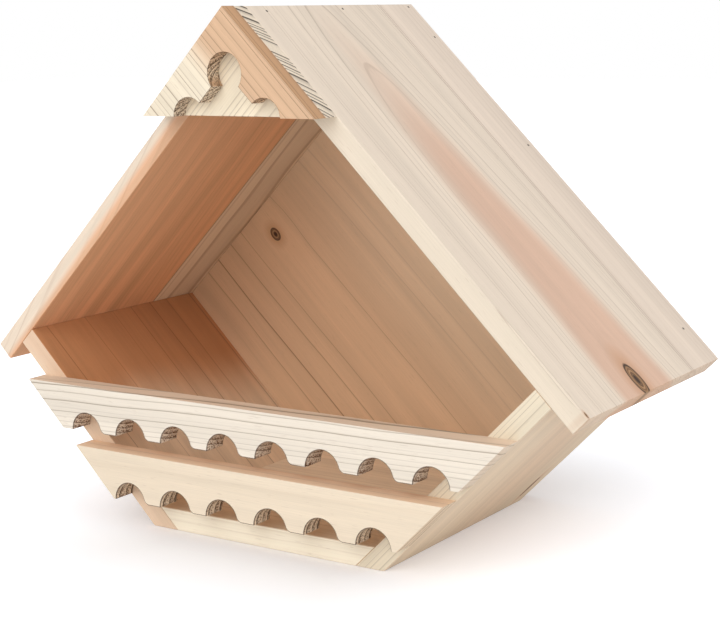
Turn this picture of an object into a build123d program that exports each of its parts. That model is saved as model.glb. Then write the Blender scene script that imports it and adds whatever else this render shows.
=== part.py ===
from build123d import *
import os
from math import sqrt

# A small diamond-fronted wooden nest box for doves, in millimetres.
# The origin is on the ground, at the middle of the floor board's underside.
# X runs to the right, Y to the back and Z up.

# Whole box. Every board of the roof and the lower sides leans at 45 degrees.
overall_height = 300.0
base_width = 162.0

# Roof boards
roof_thickness = 12.0
roof_depth = 165.0
left_roof_seam = 112.0
right_roof_seam = 127.0

# Lower box
eave_overhang = 16.25
wall_thickness = 12.8
floor_thickness = 12.6
back_thickness = 13.0
back_inset = 5.0

# Pediment under the ridge
pediment_thickness = 9.9
pediment_height = 58.0
top_lobe_radius = 11.3
top_lobe_drop = 35.0
side_lobe_radius = 10.5
side_lobe_offset = 25.2
throat_half_width = 9.2

# Scalloped boards across the front
fence_thickness = 14.5
upper_fence_bottom = 55.7
upper_fence_height = 27.1
upper_scallops = 8
upper_scallop_shift = 1.6
lower_fence_bottom = 17.5
lower_fence_height = 28.9
lower_scallops = 6
lower_scallop_shift = -0.7
pitch_share = 0.21
scallop_share = 0.647

# Places worked out from the sizes above
diagonal = sqrt(0.5)
box_depth = roof_depth - back_thickness
pediment_bottom = overall_height - pediment_height
wall_foot = base_width / 2
inner_foot = wall_foot - wall_thickness / diagonal
wall_top = (overall_height + wall_foot) * diagonal
roof_length = wall_top + eave_overhang
scallop_pitch = base_width * pitch_share
scallop_radius = scallop_pitch * scallop_share / 2
tab_rounding = scallop_pitch * (1 - scallop_share) / 3
front = Plane.XZ.offset(box_depth / 2)

os.makedirs("parts", exist_ok=True)


def on_slope(side, along, inward):
    """A point at a distance down one roof slope, and at a depth in from its outer face."""
    return (side * (along - inward) * diagonal, overall_height - (along + inward) * diagonal)


def save(piece, label):
    piece.label = label
    export_step(piece, f"parts/{label}.step")


# Each roof board is two staves glued edge to edge. The right board laps over
# the upper end of the left board, so the left one starts a thickness lower.
roof_boards = (("right", 1, 0.0, right_roof_seam), ("left", -1, roof_thickness, left_roof_seam))

for board, side, upper_end, seam in roof_boards:
    staves = ((f"roof_{board}_front", 0.0, seam), (f"roof_{board}_back", seam, roof_depth))
    for label, near, far in staves:
        with BuildPart() as roof_stave:
            with BuildSketch(front.offset(-near)):
                with BuildLine():
                    Polyline(
                        on_slope(side, upper_end, 0),
                        on_slope(side, roof_length, 0),
                        on_slope(side, roof_length, roof_thickness),
                        on_slope(side, upper_end, roof_thickness),
                        close=True,
                    )
                make_face()
            extrude(amount=near - far)
        save(roof_stave.part, label)

# Lower side walls, square under the roof boards and cut level at the ground
for board, side in (("wall_left", -1), ("wall_right", 1)):
    with BuildPart() as wall:
        with BuildSketch(front):
            with BuildLine():
                Polyline(
                    (side * inner_foot, 0),
                    (side * wall_foot, 0),
                    on_slope(side, wall_top, roof_thickness),
                    on_slope(side, wall_top - wall_thickness, roof_thickness),
                    close=True,
                )
            make_face()
        extrude(amount=-box_depth)
    save(wall.part, board)

# Floor, with its ends bevelled along the inner faces of the walls
floor_top_half = inner_foot + floor_thickness

with BuildPart() as floor_board:
    with BuildSketch(front):
        with BuildLine():
            Polyline(
                (-inner_foot, 0),
                (inner_foot, 0),
                (floor_top_half, floor_thickness),
                (-floor_top_half, floor_thickness),
                close=True,
            )
        make_face()
    extrude(amount=-box_depth)
save(floor_board.part, "floor_board")

# Back panel, behind the walls and between the roof boards
panel_foot = wall_foot - back_inset / diagonal
panel_corner = wall_top - back_inset

with BuildPart() as back_panel:
    with BuildSketch(front.offset(-box_depth)):
        with BuildLine():
            Polyline(
                (panel_foot, 0),
                on_slope(1, panel_corner, roof_thickness),
                on_slope(1, roof_thickness, roof_thickness),
                on_slope(-1, panel_corner, roof_thickness),
                (-panel_foot, 0),
                close=True,
            )
        make_face()
    extrude(amount=-back_thickness)
save(back_panel.part, "back_panel")

# Back layer of the pediment, a plain triangle on the front of the roof boards
with BuildPart() as pediment_back:
    with BuildSketch(front):
        with BuildLine():
            Polyline(
                (-pediment_height, pediment_bottom),
                (pediment_height, pediment_bottom),
                (0, overall_height),
                close=True,
            )
        make_face()
    extrude(amount=pediment_thickness)
save(pediment_back.part, "pediment_back")

# Front layer, with a three-lobed cut-out whose sides slant to the lower lobes
throat_top = pediment_bottom + side_lobe_offset - throat_half_width

with BuildPart() as pediment_front:
    with BuildSketch(front.offset(pediment_thickness)):
        with BuildLine():
            Polyline(
                (-pediment_height, pediment_bottom),
                (pediment_height, pediment_bottom),
                (0, overall_height),
                close=True,
            )
        make_face()
        with Locations((0, overall_height - top_lobe_drop)):
            Circle(top_lobe_radius, mode=Mode.SUBTRACT)
        with Locations((-side_lobe_offset, pediment_bottom), (side_lobe_offset, pediment_bottom)):
            Circle(side_lobe_radius, mode=Mode.SUBTRACT)
        with BuildLine():
            Polyline(
                (-side_lobe_offset, pediment_bottom),
                (side_lobe_offset, pediment_bottom),
                (throat_half_width, throat_top),
                (-throat_half_width, throat_top),
                close=True,
            )
        make_face(mode=Mode.SUBTRACT)
    extrude(amount=pediment_thickness)
save(pediment_front.part, "pediment_front")

# Two scalloped boards across the front, their ends mitred along the walls.
# Each scallop flows on its right into the rounded corner of the next tab.
fences = (
    ("upper_fence", upper_fence_bottom, upper_fence_height, upper_scallops, upper_scallop_shift),
    ("lower_fence", lower_fence_bottom, lower_fence_height, lower_scallops, lower_scallop_shift),
)

for label, bottom, height, count, shift in fences:
    bottom_half = wall_foot + bottom
    top_half = bottom_half + height
    centres = [shift + (i - (count - 1) / 2) * scallop_pitch for i in range(count)]
    with BuildPart() as fence:
        with BuildSketch(front) as profile:
            with BuildLine():
                Polyline(
                    (-bottom_half, bottom),
                    (bottom_half, bottom),
                    (top_half, bottom + height),
                    (-top_half, bottom + height),
                    close=True,
                )
            make_face()
            with Locations([(centre, bottom) for centre in centres]):
                Circle(scallop_radius, mode=Mode.SUBTRACT)
            tab_corners = []
            for centre in centres[:-1]:
                corner = Vector(centre + scallop_radius, bottom)
                tab_corners.append(profile.vertices().sort_by_distance(corner)[0])
            fillet(tab_corners, radius=tab_rounding)
        extrude(amount=fence_thickness)
    save(fence.part, label)
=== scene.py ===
from dataclasses import dataclass
from math import cos, pi, radians, sin, sqrt

import bmesh
import bpy
from mathutils import Matrix, Vector


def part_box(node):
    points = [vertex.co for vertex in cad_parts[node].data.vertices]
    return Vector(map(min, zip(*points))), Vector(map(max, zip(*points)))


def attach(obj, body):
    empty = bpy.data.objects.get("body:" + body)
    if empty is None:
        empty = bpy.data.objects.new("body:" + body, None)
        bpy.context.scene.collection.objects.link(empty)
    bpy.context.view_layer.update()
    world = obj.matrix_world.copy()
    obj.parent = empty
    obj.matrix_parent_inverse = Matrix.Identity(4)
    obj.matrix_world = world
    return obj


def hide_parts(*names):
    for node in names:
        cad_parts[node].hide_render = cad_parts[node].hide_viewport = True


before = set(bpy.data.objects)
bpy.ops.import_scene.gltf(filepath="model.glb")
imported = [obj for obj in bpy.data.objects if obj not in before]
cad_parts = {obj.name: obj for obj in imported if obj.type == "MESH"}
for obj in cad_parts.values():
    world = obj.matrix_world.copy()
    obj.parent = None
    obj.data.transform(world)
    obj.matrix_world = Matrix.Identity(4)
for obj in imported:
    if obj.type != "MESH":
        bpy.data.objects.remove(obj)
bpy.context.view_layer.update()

# Blender's unit is the metre, and this box is measured in millimetres
MM = 0.001
DIAGONAL = sqrt(0.5)

RIGHT = (1, 0, 0)
BACKWARD = (0, 1, 0)
UP = (0, 0, 1)
UP_RIGHT = (DIAGONAL, 0, DIAGONAL)
UP_LEFT = (-DIAGONAL, 0, DIAGONAL)
DOWN_RIGHT = (DIAGONAL, 0, -DIAGONAL)
DOWN_LEFT = (-DIAGONAL, 0, -DIAGONAL)


# Places read from the frame

def corner(node, end, axis):
    """One coordinate of a node's box, in metres: end 0 is its lowest corner and 1 its highest."""
    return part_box(node)[end][axis]


FRONT = corner("roof_right_front", 0, 1)
BACK = corner("roof_right_back", 1, 1)
RIDGE = corner("roof_right_front", 1, 2)
SEAM_RIGHT = corner("roof_right_back", 0, 1)
SEAM_LEFT = corner("roof_left_back", 0, 1)


# Shader nodes

def linear(hex_colour, alpha=1.0):
    """An sRGB hex colour as the linear values that the shaders take."""
    channels = [int(hex_colour[i:i + 2], 16) / 255 for i in (1, 3, 5)]
    return [c / 12.92 if c <= 0.04045 else ((c + 0.055) / 1.055) ** 2.4 for c in channels] + [alpha]


def add(tree, kind, inputs=None, out=0, stops=(), **settings):
    """Adds one node with its settings, values and links, and gives one of its outputs."""
    node = tree.nodes.new("ShaderNode" + kind)
    for name, value in settings.items():
        setattr(node, name, value)
    for socket, value in (inputs or {}).items():
        if isinstance(value, bpy.types.NodeSocket):
            tree.links.new(value, node.inputs[socket])
        else:
            node.inputs[socket].default_value = value
    if stops:
        points = node.color_ramp.elements
        while len(points) < len(stops):
            points.new(0.5)
        for point, (place, shade) in zip(points, stops):
            point.position = place
            point.color = (shade, shade, shade, 1)
    return node.outputs[out] if node.outputs else node


def bare_material(name):
    """A material whose node tree is still empty."""
    material = bpy.data.materials.new(name)
    material.use_nodes = True
    material.node_tree.nodes.clear()
    return material


# Fir: each board's wood is worked out in the solid, from its place in the log

# Sizes along, across and through a board, in millimetres. Real fibres are about 0.03 mm wide
# and their flecks little wider, so both are drawn coarser here, as wide as they need to show.
WANDER_SIZE = (170, 60, 60)
FIBRE_SIZE = (40, 0.5, 0.5)
FLECK_SIZE = (7, 0.6, 0.6)
STREAK_SIZE = (300, 11, 11)

# How far the pattern is moved for each step of a board's seed, so that no two boards match
SEED_STEP = (97, 53, 31)

# Good and bad spells of growth: changes a year, and how many years' width they add
WEATHER_PACE = 0.31
WEATHER_SWING = 2.2

# Tears in a cut wall, a knot's own rings, a glue line and the planed face's relief, in millimetres
TEAR_SIZE = 1.0
KNOT_RING = 1.3
GLUE_HALF_WIDTH = 0.25
RELIEF_DEPTH = 0.12

# Nearly all of a noise lies in this span; only its rare peaks are flecks, and its dips are tears
NOISE_SPAN = {"From Min": 0.3, "From Max": 0.7}
FLECK_PEAKS = {"From Min": 0.74, "From Max": 0.82}
TEAR_DIPS = {"From Min": 0.33, "From Max": 0.47}

# How much more the noise dips at the end of each year's ring, where tears crowd
TEAR_CROWDING = 0.16

# How strongly a mark or tint shows, from 0 to 1
FLECK_STRENGTH = 0.15
GLUE_STRENGTH = 0.5
HALO_STRENGTH = 0.5
SAWN_TINT_STRENGTH = 0.3
TORN_TAN_STRENGTH = 0.2
TEAR_STRENGTH = 0.95
TORN_ARC_STRENGTH = 0.9
SCORCH_STRENGTH = 0.75

# Brightness of the darkest and palest fibres, against the wood round them
DARK_FIBRE = 0.955
PALE_FIBRE = 1.03

# Where one look gives way to the next on a knot, as shares of its radius
HEART_TO_RINGS = {"From Min": 0.2, "From Max": 0.55}
RINGS_TO_BARK = {"From Min": 0.72, "From Max": 0.94}
BARK_TO_BOARD = {"From Min": 0.95, "From Max": 1.08}
HALO_TO_BOARD = {"From Min": 1.0, "From Max": 2.6}

FLECK_BROWN = "#8A6748"
GLUE_BROWN = "#6A4A33"
SCORCHED_BROWN = "#4A3626"
TORN_TAN = "#C99B70"
TORN_ARCS = "#2E2117"
SAWN_ARCS = "#30251C"
KNOT_HALO = "#BB8458"
KNOT_BARK = "#33231A"
KNOT_HEART = "#3A261A"
KNOT_RINGS = ("#7A583D", "#AF8862")


@dataclass
class Fir:
    """One board's wood: where it lay in the log, and its colours.

    Lengths are in millimetres, measured along the grain, across the board's face and through
    the board. A knot is (along, across, radius, reach of the bent grain, stretch along).
    """
    name: str
    grain: tuple
    across: tuple
    # A point on the board, in metres, from which the three lengths are measured
    start: tuple
    # The log's centre, across and through the board, and how far it moves per millimetre along
    pith: tuple
    ring: float
    sap: str
    late: str
    lean: tuple = (0, 0)
    wander: float = 2.5
    # Late wood: how dark its lines are, their share of a year, and the strength of the faintest
    # one, which is below 0 where some years leave no line at all
    contrast: float = 0.6
    late_share: float = 0.16
    least: float = 0.2
    # Heartwood: from a radius round the pith or, if it shows from one side of the board only, from
    # heart_side: the depths where it begins and is full, and how much they grow per millimetre along
    heart: str = ""
    heart_radius: float = 0.0
    heart_edge: float = 6.0
    heart_depth: float = 0.7
    heart_side: tuple = ()
    # The long narrow edges: a tint for them (on the floor board, painted light), how much of it, and how dark
    # the ring lines are there
    edges: str = ""
    edge_depth: float = 0.8
    edge_lines: float = 0.0
    # Sawn ends and cut walls: their tints, and how dark the arcs of the rings are on the ends
    sawn_tint: str = "#CDA577"
    end_lines: float = 0.25
    torn: str = "#6B4526"
    knots: tuple = ()
    glue_lines: tuple = ()
    streaks: float = 0.10
    seed: int = 0


def places_on_board(tree, wood):
    """Places in the board's millimetres, and the same places moved by the board's seed."""
    grain = Vector(wood.grain)
    across = Vector(wood.across)
    turn = Matrix((grain, across, grain.cross(across))).transposed().to_euler()
    place = add(tree, "Mapping", {"Vector": add(tree, "TexCoord", out="Object"), "Location": wood.start,
                                  "Rotation": turn}, vector_type="TEXTURE")
    place = add(tree, "VectorMath", {0: place, "Scale": 1 / MM}, operation="SCALE")
    shift = [wood.seed * step for step in SEED_STEP]
    return place, add(tree, "VectorMath", {0: place, 1: shift}, operation="ADD")


def drawn_out_noise(tree, shifted, size, detail, out=0):
    """Noise stretched along the grain to the given size."""
    stretched = add(tree, "VectorMath", {0: shifted, 1: size}, operation="DIVIDE")
    return add(tree, "TexNoise", {"Vector": stretched, "Scale": 1.0, "Detail": detail}, out=out)


def wandering_grain(tree, wood, place, shifted):
    """Lengths along, across and through the board, once the grain's slow wander is added."""
    drift = drawn_out_noise(tree, shifted, WANDER_SIZE, 2.5, out="Color")
    drift = add(tree, "VectorMath", {0: drift, 1: (0.5, 0.5, 0.5)}, operation="SUBTRACT")
    swing = (0, 2 * wood.wander, 2 * wood.wander)
    drift = add(tree, "VectorMath", {0: drift, 1: swing}, operation="MULTIPLY")
    bent = add(tree, "VectorMath", {0: place, 1: drift}, operation="ADD")
    return [add(tree, "SeparateXYZ", {0: bent}, out=axis) for axis in "XYZ"]


def part_round_knots(tree, wood, along, sideways):
    """Bends the grain round each knot; a knot's marks are its distance, radius and bending."""
    knots = []
    for knot_along, knot_across, radius, reach, stretch in wood.knots:
        away_along = add(tree, "Math", {0: along, 1: knot_along}, operation="SUBTRACT")
        away_along = add(tree, "Math", {0: away_along, 1: stretch}, operation="DIVIDE")
        away_across = add(tree, "Math", {0: sideways, 1: knot_across}, operation="SUBTRACT")
        away = add(tree, "CombineXYZ", {0: away_along, 1: away_across, 2: 0.0})
        away = add(tree, "VectorMath", {0: away}, out="Value", operation="LENGTH")
        bending = add(tree, "Math", {0: away, 1: reach}, operation="DIVIDE")
        bending = add(tree, "Math", {0: bending, 1: bending}, operation="MULTIPLY")
        bending = add(tree, "Math", {0: bending, 1: -1.0}, operation="MULTIPLY")
        bending = add(tree, "Math", {0: bending}, operation="EXPONENT")
        push = add(tree, "Math", {0: away_across, 1: bending}, operation="MULTIPLY")
        sideways = add(tree, "Math", {0: sideways, 1: push}, operation="SUBTRACT")
        knots.append((away, radius, bending))
    return sideways, knots


def years_of_growth(tree, wood, along, sideways, through):
    """Distance from the pith, how far its year had gone, and the year's number."""
    pith_across = add(tree, "Math", {0: along, 1: wood.lean[0], 2: wood.pith[0]}, operation="MULTIPLY_ADD")
    pith_through = add(tree, "Math", {0: along, 1: wood.lean[1], 2: wood.pith[1]}, operation="MULTIPLY_ADD")
    from_across = add(tree, "Math", {0: sideways, 1: pith_across}, operation="SUBTRACT")
    from_through = add(tree, "Math", {0: through, 1: pith_through}, operation="SUBTRACT")
    distance = add(tree, "CombineXYZ", {0: from_across, 1: from_through, 2: 0.0})
    distance = add(tree, "VectorMath", {0: distance}, out="Value", operation="LENGTH")
    years = add(tree, "Math", {0: distance, 1: wood.ring}, operation="DIVIDE")
    # Good and bad years make the rings wider and narrower in turn
    weather = add(tree, "TexNoise", {"W": years, "Scale": WEATHER_PACE, "Detail": 1.0}, noise_dimensions="1D")
    years = add(tree, "Math", {0: weather, 1: WEATHER_SWING, 2: years}, operation="MULTIPLY_ADD")
    season = add(tree, "Math", {0: years}, operation="FRACT")
    return distance, season, add(tree, "Math", {0: years}, operation="FLOOR")


def late_wood(tree, wood, season, year, knots):
    """The dark line of a ring: it fills slowly, ends sharply and fades near a knot."""
    share = wood.late_share
    line = add(tree, "ValToRGB", {0: season}, stops=(
        (0, 0.0), (1 - 3.2 * share, 0.03), (1 - 1.5 * share, 0.22), (1 - share, 0.9),
        (1 - 0.35 * share, 1.0), (1.0, 0.0)))
    strength = add(tree, "TexWhiteNoise", {"W": year}, noise_dimensions="1D")
    strength = add(tree, "MapRange", {"Value": strength, "To Min": wood.least, "To Max": 1.0})
    line = add(tree, "Math", {0: line, 1: strength}, operation="MULTIPLY")
    for _, _, bending in knots:
        clear = add(tree, "MapRange", {"Value": bending, "From Min": 0.2, "From Max": 0.8,
                                       "To Min": 1.0, "To Max": 0.1})
        line = add(tree, "Math", {0: line, 1: clear}, operation="MULTIPLY")
    return line


def facing(tree, direction):
    """1 on a face that looks along the direction, either way, and 0 on one that lies along it."""
    normal = add(tree, "TexCoord", out="Normal")
    turned = add(tree, "VectorMath", {0: normal, 1: direction}, out="Value", operation="DOT_PRODUCT")
    return add(tree, "Math", {0: turned}, operation="ABSOLUTE")


def sap_and_heart(tree, wood, along, through, distance):
    """Pale sapwood, and the darker heartwood where the board reaches it."""
    if not wood.heart:
        return linear(wood.sap)
    measure = distance
    begins = wood.heart_radius + wood.heart_edge / 2
    full = wood.heart_radius - wood.heart_edge
    if wood.heart_side:
        begins, full, dip = wood.heart_side
        measure = add(tree, "Math", {0: along, 1: -dip, 2: through}, operation="MULTIPLY_ADD")
    inside = add(tree, "MapRange", {"Value": measure, "From Min": begins, "From Max": full,
                                    "To Max": wood.heart_depth}, interpolation_type="SMOOTHSTEP")
    return add(tree, "MixRGB", {0: inside, 1: linear(wood.sap), 2: linear(wood.heart)})


def planed_colour(tree, wood, ground, line, fibre, shifted):
    """The planed faces: ring lines on the ground, broad soft streaks, fibres and flecks."""
    contrast = wood.contrast
    if wood.edges:
        narrow = add(tree, "MapRange", {"Value": facing(tree, wood.across), "From Min": 0.75,
                                        "From Max": 0.95, "To Max": wood.edge_depth})
        ground = add(tree, "MixRGB", {0: narrow, 1: ground, 2: linear(wood.edges)})
        if wood.edge_lines:
            contrast = add(tree, "MapRange", {"Value": narrow, "To Min": wood.contrast,
                                              "To Max": wood.edge_lines})
    amount = add(tree, "Math", {0: line, 1: contrast}, operation="MULTIPLY")
    colour = add(tree, "MixRGB", {0: amount, 1: ground, 2: linear(wood.late)})
    streak = drawn_out_noise(tree, shifted, STREAK_SIZE, 3.0)
    streak = add(tree, "MapRange", {"Value": streak, **NOISE_SPAN,
                                    "To Min": 1 - wood.streaks, "To Max": 1 + wood.streaks * 0.4})
    hair = add(tree, "MapRange", {"Value": fibre, **NOISE_SPAN, "To Min": DARK_FIBRE, "To Max": PALE_FIBRE})
    tone = add(tree, "Math", {0: streak, 1: hair}, operation="MULTIPLY")
    colour = add(tree, "VectorMath", {0: colour, "Scale": tone}, operation="SCALE")
    fleck = drawn_out_noise(tree, shifted, FLECK_SIZE, 0.0)
    fleck = add(tree, "MapRange", {"Value": fleck, **FLECK_PEAKS, "To Max": FLECK_STRENGTH})
    return add(tree, "MixRGB", {0: fleck, 1: colour, 2: linear(FLECK_BROWN)})


def knot_colour(tree, colour, away, radius):
    """A knot: fine rings of its own, a dark heart, a line of bark round it and a warm halo."""
    rings = add(tree, "Math", {0: away, 1: 2 * pi / KNOT_RING}, operation="MULTIPLY")
    rings = add(tree, "Math", {0: rings}, operation="SINE")
    rings = add(tree, "MapRange", {"Value": rings, "From Min": -1.0, "From Max": 1.0})
    wood = add(tree, "MixRGB", {0: rings, 1: linear(KNOT_RINGS[0]), 2: linear(KNOT_RINGS[1])})
    share = add(tree, "Math", {0: away, 1: radius}, operation="DIVIDE")
    past_heart = add(tree, "MapRange", {"Value": share, **HEART_TO_RINGS})
    wood = add(tree, "MixRGB", {0: past_heart, 1: linear(KNOT_HEART), 2: wood})
    bark = add(tree, "MapRange", {"Value": share, **RINGS_TO_BARK})
    wood = add(tree, "MixRGB", {0: bark, 1: wood, 2: linear(KNOT_BARK)})
    halo = add(tree, "MapRange", {"Value": share, **HALO_TO_BOARD, "To Min": HALO_STRENGTH, "To Max": 0.0})
    colour = add(tree, "MixRGB", {0: halo, 1: colour, 2: linear(KNOT_HALO)})
    inside = add(tree, "MapRange", {"Value": share, **BARK_TO_BOARD, "To Min": 1.0, "To Max": 0.0})
    return add(tree, "MixRGB", {0: inside, 1: colour, 2: wood})


def glue_seams(tree, wood, colour, place):
    """The thin brown lines that glue draws where it is squeezed into a joint."""
    across = add(tree, "SeparateXYZ", {0: place}, out="Y")
    for seam in wood.glue_lines:
        glue = add(tree, "Math", {0: across, 1: seam, 2: GLUE_HALF_WIDTH}, operation="COMPARE")
        glue = add(tree, "Math", {0: glue, 1: GLUE_STRENGTH}, operation="MULTIPLY")
        colour = add(tree, "MixRGB", {0: glue, 1: colour, 2: linear(GLUE_BROWN)})
    return colour


def torn_grain(tree, season, shifted):
    """1 on sound wood and 0 in the small tears of a cut, which crowd toward the end of each year."""
    tears = add(tree, "TexNoise", {"Vector": shifted, "Scale": 1 / TEAR_SIZE, "Detail": 2.0,
                                   "Roughness": 0.7})
    tears = add(tree, "Math", {0: season, 1: -TEAR_CROWDING, 2: tears}, operation="MULTIPLY_ADD")
    return add(tree, "MapRange", {"Value": tears, **TEAR_DIPS})


def sawn_end_colour(tree, wood, colour, line, sound):
    """A sawn end: a little darker and warmer than the face, with the rings as arcs."""
    tone = add(tree, "MapRange", {"Value": sound, "To Min": 0.86, "To Max": 0.97})
    colour = add(tree, "VectorMath", {0: colour, "Scale": tone}, operation="SCALE")
    colour = add(tree, "MixRGB", {0: SAWN_TINT_STRENGTH, 1: colour, 2: linear(wood.sawn_tint)})
    arcs = add(tree, "Math", {0: line, 1: wood.end_lines}, operation="MULTIPLY")
    return add(tree, "MixRGB", {0: arcs, 1: colour, 2: linear(SAWN_ARCS)})


def cut_wall_colour(tree, wood, colour, line, sound):
    """The wall that a cutter leaves in a scallop or lobe: torn in dark, ragged arcs."""
    colour = add(tree, "MixRGB", {0: TORN_TAN_STRENGTH, 1: colour, 2: linear(TORN_TAN)})
    tears = add(tree, "MapRange", {"Value": sound, "To Min": TEAR_STRENGTH, "To Max": 0.0})
    colour = add(tree, "MixRGB", {0: tears, 1: colour, 2: linear(wood.torn)})
    arcs = add(tree, "Math", {0: line, 1: TORN_ARC_STRENGTH}, operation="MULTIPLY")
    return add(tree, "MixRGB", {0: arcs, 1: colour, 2: linear(TORN_ARCS)})


def planed_fir(wood):
    """Planed, untreated fir: smooth and dull, with fine fibre lines and no varnish's shine.

    The rings run through the solid board, so that flat-sawn faces show arches, edges show
    straight lines and sawn ends show arcs, each meeting the next at the arris.
    """
    material = bare_material(wood.name)
    tree = material.node_tree
    place, shifted = places_on_board(tree, wood)
    along, sideways, through = wandering_grain(tree, wood, place, shifted)
    sideways, knots = part_round_knots(tree, wood, along, sideways)
    distance, season, year = years_of_growth(tree, wood, along, sideways, through)
    line = late_wood(tree, wood, season, year, knots)
    fibre = drawn_out_noise(tree, shifted, FIBRE_SIZE, 2.0)

    ground = sap_and_heart(tree, wood, along, through, distance)
    colour = planed_colour(tree, wood, ground, line, fibre, shifted)
    for away, radius, _ in knots:
        colour = knot_colour(tree, colour, away, radius)
    colour = glue_seams(tree, wood, colour, place)

    # "bored" is the boards' own mark: 1 on a wall that a cutter left and 2 on its scorched rim
    sound = torn_grain(tree, season, shifted)
    sawn = add(tree, "MapRange", {"Value": facing(tree, wood.grain), "From Min": 0.3, "From Max": 0.62})
    bored = add(tree, "Attribute", out="Fac", attribute_name="bored")
    # The cutter tears less where it runs along the grain
    cut = add(tree, "MapRange", {"Value": sawn, "To Min": 0.65, "To Max": 1.0})
    cut = add(tree, "Math", {0: cut, 1: bored}, operation="MULTIPLY", use_clamp=True)
    scorched = add(tree, "MapRange", {"Value": bored, "From Min": 1.0, "From Max": 2.0,
                                      "To Max": SCORCH_STRENGTH})
    end = sawn_end_colour(tree, wood, colour, line, sound)
    wall = cut_wall_colour(tree, wood, colour, line, sound)
    colour = add(tree, "MixRGB", {0: sawn, 1: colour, 2: end})
    colour = add(tree, "MixRGB", {0: cut, 1: colour, 2: wall})
    colour = add(tree, "MixRGB", {0: scorched, 1: colour, 2: linear(SCORCHED_BROWN)})

    # Late wood and fibres stand a little proud of the planed face, and the ends are rough
    relief = add(tree, "Math", {0: line, 1: 0.5, 2: fibre}, operation="MULTIPLY_ADD")
    relief = add(tree, "Math", {0: sawn, 1: sound, 2: relief}, operation="MULTIPLY_ADD")
    bump = add(tree, "Bump", {"Strength": 0.35, "Distance": RELIEF_DEPTH * MM, "Height": relief})
    dullness = add(tree, "MapRange", {"Value": fibre, "To Min": 0.55, "To Max": 0.72})
    surface = add(tree, "BsdfPrincipled", {"Base Color": colour, "Roughness": dullness, "Normal": bump,
                                           "IOR": 1.5, "Specular IOR Level": 0.3})
    add(tree, "OutputMaterial", {"Surface": surface})
    return material


# The boards' woods

# Flat-sawn: fine rings part round a long pink tongue of heartwood that ends in a dark knot
roof_right_front = Fir(
    "planed fir, right roof, front stave", DOWN_RIGHT, BACKWARD, (0, FRONT, RIDGE), pith=(60, -62),
    lean=(0.04, 0.031), ring=2.1, sap="#E7D7C5", late="#7A5A3E", contrast=0.6, late_share=0.085, least=-0.3,
    heart="#D39E80", heart_radius=61, heart_edge=4, heart_depth=0.58,
    knots=((277, 69, 5.3, 14, 2.0), (283, 1.5, 0.7, 3, 2.5)), edges="#E9DCC8", seed=1)

# Plain and pale, with two glue lines where it meets the front stave
roof_right_back = Fir(
    "planed fir, right roof, back stave", DOWN_RIGHT, BACKWARD, (0, SEAM_RIGHT, RIDGE), pith=(-30, -70),
    ring=3.0, sap="#E8D7C6", late="#A98B70", contrast=0.2, glue_lines=(0.2, 2.0), seed=2)

# Pale outside and warm heartwood inside, so that its front edge turns from cream to pink
roof_left_front = Fir(
    "planed fir, left roof, front stave", DOWN_LEFT, BACKWARD, (0, FRONT, RIDGE), pith=(150, 70),
    lean=(0.07, 0.05), ring=3.2, sap="#EEDCC7", late="#9A6844", contrast=0.22, heart="#EDB58A",
    heart_side=(1, 6, 0.022), heart_depth=0.95, edges="#F1E0CE", edge_depth=0.15, glue_lines=(111.7,),
    seed=3, streaks=0.2)

# Cream, with soft brown ring lines
roof_left_back = Fir(
    "planed fir, left roof, back stave", DOWN_LEFT, BACKWARD, (0, SEAM_LEFT, RIDGE), pith=(26, 60),
    ring=3.4, sap="#EFDAC2", late="#8E6040", contrast=0.45, glue_lines=(0.3,), seed=4)

# Brown heartwood inside with a few dark, widely spaced lines, and a pale front edge. The heartwood thins
# toward the floor, so that the inner face grows paler downward: painted light against the shade that the
# fence casts low in the box
wall_left = Fir(
    "planed fir, left wall, paler low down by painted light", DOWN_RIGHT, BACKWARD, (-0.18, FRONT, 0.1), pith=(-200, 30), lean=(0.02, 0),
    ring=5.0, sap="#E9CFB2", late="#5E3620", contrast=0.75, late_share=0.12, least=-1.2, heart="#BF8458",
    heart_side=(-2, 6, 0.143), heart_depth=0.95, edges="#F3D6BA", seed=5, streaks=0.14)

# Smooth and even, with faint grain on its face and clear lines on its front edge
wall_right = Fir(
    "planed fir, right wall", UP_RIGHT, BACKWARD, (0.08, FRONT, 0), pith=(86, -170), lean=(0, 0.02),
    ring=3.6, sap="#E8D4BA", late="#7F6A50", contrast=0.12, late_share=0.1, heart="#DFBCA1",
    heart_radius=172, heart_edge=6, heart_depth=0.35, edges="#EADFC8", edge_lines=0.75,
    knots=((21, 137, 1.6, 4, 6.0),), seed=6, wander=1.5)

# The palest board. Its narrow front and back edges are paler still, near white: painted light, which lifts
# the shade that the lower fence casts on the front edge
floor_board = Fir(
    "planed fir, floor, edges lifted by painted light", RIGHT, BACKWARD, (0, FRONT, 0), pith=(60, -50), ring=4.0,
    sap="#F7E4C9", late="#A98A66", contrast=0.3, edges="#FFF4DE", edge_depth=1.0, seed=7)

# Honey brown, with wide soft bands and a few thin dark lines that slope down to the right
back_panel = Fir(
    "planed fir, back panel", DOWN_RIGHT, UP_RIGHT, (0, BACK, 0.15), pith=(-190, 60), lean=(0.03, 0.02),
    ring=6.0, sap="#EFD4B4", late="#6E4428", contrast=0.7, late_share=0.08, least=-1.2, heart="#D7A87F",
    heart_radius=190, heart_edge=60, heart_depth=0.6, knots=((-73.5, -68, 3.2, 10, 1.5),), seed=8,
    streaks=0.13)

# Grain that rises to the right, and dark arcs on the end that shows behind the front layer
pediment_back = Fir(
    "planed fir, pediment back layer", UP_RIGHT, DOWN_RIGHT, (0, FRONT, 0.25), pith=(130, -90),
    ring=3.5, sap="#FAECD2", late="#7F6446", contrast=0.42, late_share=0.18, least=0.5, end_lines=1.7,
    sawn_tint="#D3BDB4", seed=9, wander=1.0)

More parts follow.
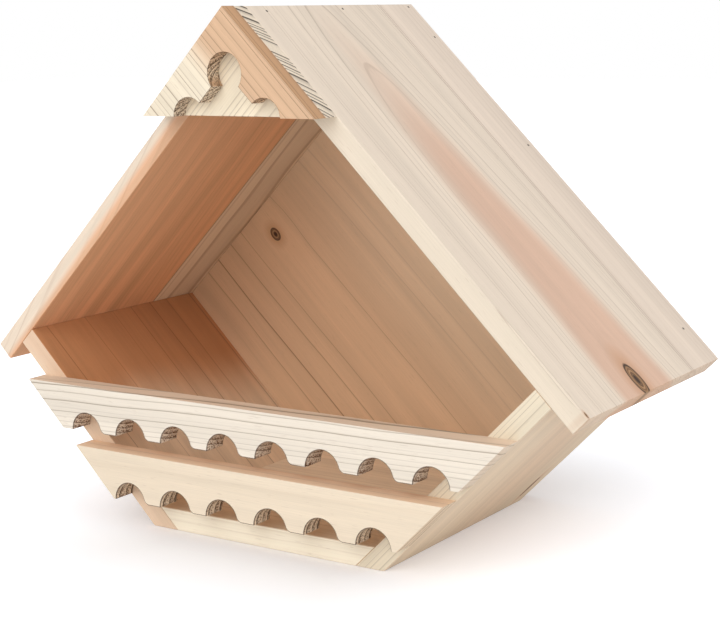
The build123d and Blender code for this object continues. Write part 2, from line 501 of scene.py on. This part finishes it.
# Grain that falls to the right: cream sapwood at the left, honey heartwood at the right
pediment_front = Fir(
    "planed fir, pediment front layer", DOWN_RIGHT, UP_RIGHT, (0, FRONT, 0.25), pith=(150, 110),
    ring=3.0, sap="#F1E4CD", late="#67462C", contrast=0.85, late_share=0.1, heart="#D9AF8A",
    heart_radius=173, heart_edge=12, heart_depth=0.85, edges="#B98C63", edge_depth=0.75, torn="#553820",
    seed=10, wander=1.0)

# Near white, with long grey-brown lines
upper_fence = Fir(
    "planed fir, upper fence", RIGHT, UP, (0, FRONT, 0.055), pith=(75, -6), lean=(0.02, 0.0),
    ring=3.4, sap="#F2E8D9", late="#857058", contrast=0.8, late_share=0.11, edges="#E6C9AD",
    end_lines=0.1, seed=11, wander=3.0)

# Cream, with faint grain and a pinker top edge
lower_fence = Fir(
    "planed fir, lower fence", RIGHT, UP, (0, FRONT, 0.017), pith=(6, -60), ring=4.2, sap="#F0E0C9",
    late="#A88763", contrast=0.3, edges="#FBD9B8", edge_depth=0.95, end_lines=0.6, seed=13, streaks=0.06)


# Boards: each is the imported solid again, with its arrises eased by sanding

# Lengths in millimetres
THICK_BOARD_ARRIS = 0.6
THIN_BOARD_ARRIS = 0.4
RIM_WIDTH = 0.5
SAME_POINT = 0.01
SAME_PLANE = 0.05
HOLLOW_DEPTH = 0.2

# Angles between faces: a flat one splits no face, a curve's facets meet under one, an arris over one
FLAT = radians(0.5)
CURVE = (radians(1), radians(25))
ARRIS = radians(40)

# A glued joint is flush, so its arrises are hardly eased
GLUED_WEIGHT = 0.12


def mark_cut_walls(shape):
    """Marks the faces of a bored or scalloped outline, and smooths its curves."""
    bored = shape.faces.layers.float.new("bored")
    for face in shape.faces:
        middle = face.calc_center_median()
        normal = face.normal.copy()
        hollow = any((v.co - middle).dot(normal) > HOLLOW_DEPTH * MM for v in shape.verts)
        curved = any(CURVE[0] < edge.calc_face_angle(0.0) < CURVE[1] for edge in face.edges)
        face[bored] = hollow or curved
        face.smooth = curved
    return bored


def scorch_rims(shape, bored):
    """Parts off a narrow rim along each cut wall, where the cutter has scorched the arris."""
    rims = [edge for edge in shape.edges if edge.calc_face_angle(0.0) > ARRIS
            and len({face[bored] for face in edge.link_faces}) == 2]
    if rims:
        rim = bmesh.ops.bevel(shape, geom=rims, offset=RIM_WIDTH * MM, offset_type="OFFSET", segments=2,
                              profile=1.0, affect="EDGES", clamp_overlap=True)
        for face in rim["faces"]:
            face[bored] = 2.0


def weigh_arrises(shape, glued_at):
    """Says how much each arris is eased; those of a joint glued at a depth stay tight."""
    weights = shape.edges.layers.float.new("bevel_weight_edge")
    for edge in shape.edges:
        if len(edge.link_faces) == 2 and edge.calc_face_angle(0.0) > ARRIS:
            glued = glued_at is not None and all(
                abs(v.co.y - glued_at) < SAME_PLANE * MM for v in edge.verts)
            edge[weights] = GLUED_WEIGHT if glued else 1.0


def board(node, wood, arris=THICK_BOARD_ARRIS, glued_at=None):
    """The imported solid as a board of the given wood, with its arrises eased."""
    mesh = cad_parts[node].data.copy()
    mesh.name = node + "_board"
    shape = bmesh.new()
    shape.from_mesh(mesh)
    bmesh.ops.remove_doubles(shape, verts=shape.verts, dist=SAME_POINT * MM)
    bmesh.ops.dissolve_limit(shape, angle_limit=FLAT, verts=shape.verts, edges=shape.edges)
    scorch_rims(shape, mark_cut_walls(shape))
    weigh_arrises(shape, glued_at)
    shape.to_mesh(mesh)
    shape.free()
    mesh.materials.clear()
    mesh.materials.append(planed_fir(wood))
    piece = bpy.data.objects.new(node + "_board", mesh)
    bpy.context.scene.collection.objects.link(piece)
    ease = piece.modifiers.new("eased arrises", "BEVEL")
    ease.limit_method = "WEIGHT"
    ease.width = arris * MM
    ease.segments = 3
    ease.harden_normals = True
    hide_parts(node)
    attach(piece, "root")


board("roof_right_front", roof_right_front, glued_at=SEAM_RIGHT)
board("roof_right_back", roof_right_back, glued_at=SEAM_RIGHT)
board("roof_left_front", roof_left_front, glued_at=SEAM_LEFT)
board("roof_left_back", roof_left_back, glued_at=SEAM_LEFT)
board("wall_left", wall_left)
board("wall_right", wall_right)
board("floor_board", floor_board)
board("back_panel", back_panel)
board("pediment_back", pediment_back, arris=THIN_BOARD_ARRIS)
board("pediment_front", pediment_front, arris=THIN_BOARD_ARRIS)
board("upper_fence", upper_fence, arris=THIN_BOARD_ARRIS)
board("lower_fence", lower_fence, arris=THIN_BOARD_ARRIS)


# Brads: small dark heads, driven flush with the roof

# Radius and height above the roof of a head's outline, in millimetres, from its crown to its underside
BRAD_OUTLINE = ((0, 0.10), (0.45, 0.09), (0.75, 0.03), (0.8, -0.05), (0.7, -0.6), (0, -0.6))
BRAD_SIDES = 14

# Spots of grime, in millimetres
GRIME_SIZE = 2 / 3

# Places down the slope and back from the roof's front, in millimetres
BRADS_SHOWN_LEFT_AND_RIGHT = ((28.5, 159), (118.6, 159), (261, 155))
BRADS_ALONG_RIDGE = ((4.3, 15), (3.4, 87.6), (2.6, 158.8))


def dull_steel():
    """Steel that has gone dull and brown in the damp, so that a head is a dark dot in pale wood."""
    material = bare_material("dull steel brads, driven flush")
    tree = material.node_tree
    place = add(tree, "TexCoord", out="Object")
    grime = add(tree, "TexNoise", {"Vector": place, "Scale": 1 / (GRIME_SIZE * MM), "Detail": 2.0})
    grime = add(tree, "MixRGB", {0: grime, 1: linear("#2E2620"), 2: linear("#5C5148")})
    steel = add(tree, "BsdfPrincipled", {"Base Color": grime, "Metallic": 1.0, "Roughness": 0.5})
    add(tree, "OutputMaterial", {"Surface": steel})
    return material


def brad_head(heads, middle, slope, out):
    """One closed head, turned from its outline round the roof's outward direction."""
    rings = []
    for radius, height in BRAD_OUTLINE:
        turns = [2 * pi * i / BRAD_SIDES for i in range(BRAD_SIDES if radius else 1)]
        rings.append([heads.verts.new(middle + MM * (
            slope * cos(turn) * radius + Vector(BACKWARD) * sin(turn) * radius + out * height))
            for turn in turns])
    for inner, outer in zip(rings, rings[1:]):
        for i in range(BRAD_SIDES):
            j = (i + 1) % BRAD_SIDES
            corners = [ring[k % len(ring)] for ring, k in ((inner, i), (outer, i), (outer, j), (inner, j))]
            heads.faces.new(list(dict.fromkeys(corners)))


def brads(name, slope, out, places, material):
    """The brad heads on one roof board."""
    heads = bmesh.new()
    for down, back in places:
        middle = Vector((0, FRONT + back * MM, RIDGE)) + Vector(slope) * down * MM
        brad_head(heads, middle, Vector(slope), Vector(out))
    bmesh.ops.recalc_face_normals(heads, faces=heads.faces)
    mesh = bpy.data.meshes.new(name)
    heads.to_mesh(mesh)
    heads.free()
    mesh.materials.append(material)
    piece = bpy.data.objects.new(name, mesh)
    bpy.context.scene.collection.objects.link(piece)
    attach(piece, "root")


brad_steel = dull_steel()
brads("brads_right", DOWN_RIGHT, UP_RIGHT, BRADS_ALONG_RIDGE + BRADS_SHOWN_LEFT_AND_RIGHT, brad_steel)
brads("brads_left", DOWN_LEFT, UP_LEFT, BRADS_SHOWN_LEFT_AND_RIGHT, brad_steel)


# Floor and room

# Lengths in metres
FLOOR_WIDTH = 12
BOX_HALF_WIDTH_ON_FLOOR = 0.06
BOX_HALF_DEPTH_ON_FLOOR = 0.1
CLEARING_LENGTH = 0.24

# Strengths of light
GLOW_BESIDE_BOX = 0.12
ROOM_STRENGTH = 0.62


def seen_directly(tree):
    """1 for what the camera sees itself, in a gloss or through glass, and 0 for light on the box."""
    kinds = ("Is Camera Ray", "Is Glossy Ray", "Is Transmission Ray")
    camera_ray, glossy_ray, glass_ray = [add(tree, "LightPath", out=kind) for kind in kinds]
    direct = add(tree, "Math", {0: camera_ray, 1: glossy_ray}, operation="MAXIMUM")
    return add(tree, "Math", {0: direct, 1: glass_ray}, operation="MAXIMUM")


def white_sweep_with_painted_glow():
    """Matt white paper, with a painted glow that is seen directly only: faint and cool beside the box, so
    that the soft shadow stays there and loses the warmth bounced from the wood, and rising to white away from
    it.
    """
    material = bare_material("white sweep with painted glow")
    tree = material.node_tree
    paper = add(tree, "BsdfDiffuse", {"Color": linear("#F4F2F1")})
    footprint = (BOX_HALF_WIDTH_ON_FLOOR, BOX_HALF_DEPTH_ON_FLOOR, 0)
    away = add(tree, "VectorMath", {0: add(tree, "TexCoord", out="Object")}, operation="ABSOLUTE")
    away = add(tree, "VectorMath", {0: away, 1: footprint}, operation="SUBTRACT")
    away = add(tree, "VectorMath", {0: away, 1: (0, 0, 0)}, operation="MAXIMUM")
    away = add(tree, "VectorMath", {0: away}, out="Value", operation="LENGTH")
    clearing = add(tree, "MapRange", {"Value": away, "From Max": CLEARING_LENGTH,
                                      "To Min": GLOW_BESIDE_BOX, "To Max": 1.0})
    clearing = add(tree, "Math", {0: clearing, 1: seen_directly(tree)}, operation="MULTIPLY")
    # The painted glow: cool-tinted, faint beside the box and full white past the clearing
    glow = add(tree, "Emission", {"Color": linear("#E5EDF9"), "Strength": clearing})
    add(tree, "OutputMaterial", {"Surface": add(tree, "AddShader", {0: paper, 1: glow})})
    return material


bpy.ops.mesh.primitive_plane_add(size=FLOOR_WIDTH, location=(0, 0, 0))
floor = bpy.context.object
floor.name = "studio_floor"
floor.data.materials.append(white_sweep_with_painted_glow())

world = bpy.data.worlds.new("studio")
bpy.context.scene.world = world
world.use_nodes = True
world_tree = world.node_tree
world_tree.nodes.clear()
room = add(world_tree, "Background", {"Color": (1, 1, 1, 1), "Strength": ROOM_STRENGTH})
white = add(world_tree, "Background", {"Color": (1, 1, 1, 1), "Strength": 1.0})
add(world_tree, "OutputWorld", {"Surface": add(world_tree, "MixShader", {
    0: seen_directly(world_tree), 1: room, 2: white})})


# Lamps

# In metres
LAMP_DISTANCE = 1.8


def softbox(name, direction, size, watts):
    """A square studio lamp that looks at the middle of the box."""
    lamp = bpy.data.lights.new(name, "AREA")
    lamp.size = size
    lamp.energy = watts
    holder = bpy.data.objects.new(name, lamp)
    middle = Vector((0, 0, RIDGE / 2))
    holder.location = middle + Vector(direction).normalized() * LAMP_DISTANCE
    holder.rotation_euler = (holder.location - middle).to_track_quat("Z", "Y").to_euler()
    bpy.context.scene.collection.objects.link(holder)


softbox("key softbox", (0.05, -0.85, 0.5), size=1.3, watts=12)
softbox("right softbox", (0.9, -0.3, 0.4), size=1.2, watts=9)


# Camera, at the photograph's viewing angle

CAMERA_AZIMUTH = radians(34.33)
CAMERA_ELEVATION = radians(10.16)
CAMERA_ROLL = radians(-1.29)

# In metres
CAMERA_DISTANCE = 0.8618
CAMERA_TARGET = Vector((0.06946, FRONT, 0.13955))
NEAREST_SEEN = 0.05

FOCAL_LENGTH_IN_PIXELS = 1642.7
PHOTO_WIDTH_IN_PIXELS = 720

# In millimetres
SENSOR_WIDTH = 36.0

toward_camera = Vector((
    sin(CAMERA_AZIMUTH) * cos(CAMERA_ELEVATION), -cos(CAMERA_AZIMUTH) * cos(CAMERA_ELEVATION),
    sin(CAMERA_ELEVATION)))
level_right = Vector(UP).cross(toward_camera).normalized()
level_up = toward_camera.cross(level_right)
rolled_right = cos(CAMERA_ROLL) * level_right + sin(CAMERA_ROLL) * level_up
rolled_up = cos(CAMERA_ROLL) * level_up - sin(CAMERA_ROLL) * level_right

lens = bpy.data.cameras.new("camera")
lens.sensor_fit = "HORIZONTAL"
lens.sensor_width = SENSOR_WIDTH
lens.lens = FOCAL_LENGTH_IN_PIXELS / PHOTO_WIDTH_IN_PIXELS * SENSOR_WIDTH
lens.clip_start = NEAREST_SEEN
camera = bpy.data.objects.new("camera", lens)
camera.matrix_world = Matrix.Translation(CAMERA_TARGET + toward_camera * CAMERA_DISTANCE) @ Matrix(
    (rolled_right, rolled_up, toward_camera)).transposed().to_4x4()
bpy.context.scene.collection.objects.link(camera)
bpy.context.scene.camera = camera
bpy.context.scene.view_settings.view_transform = "Standard"
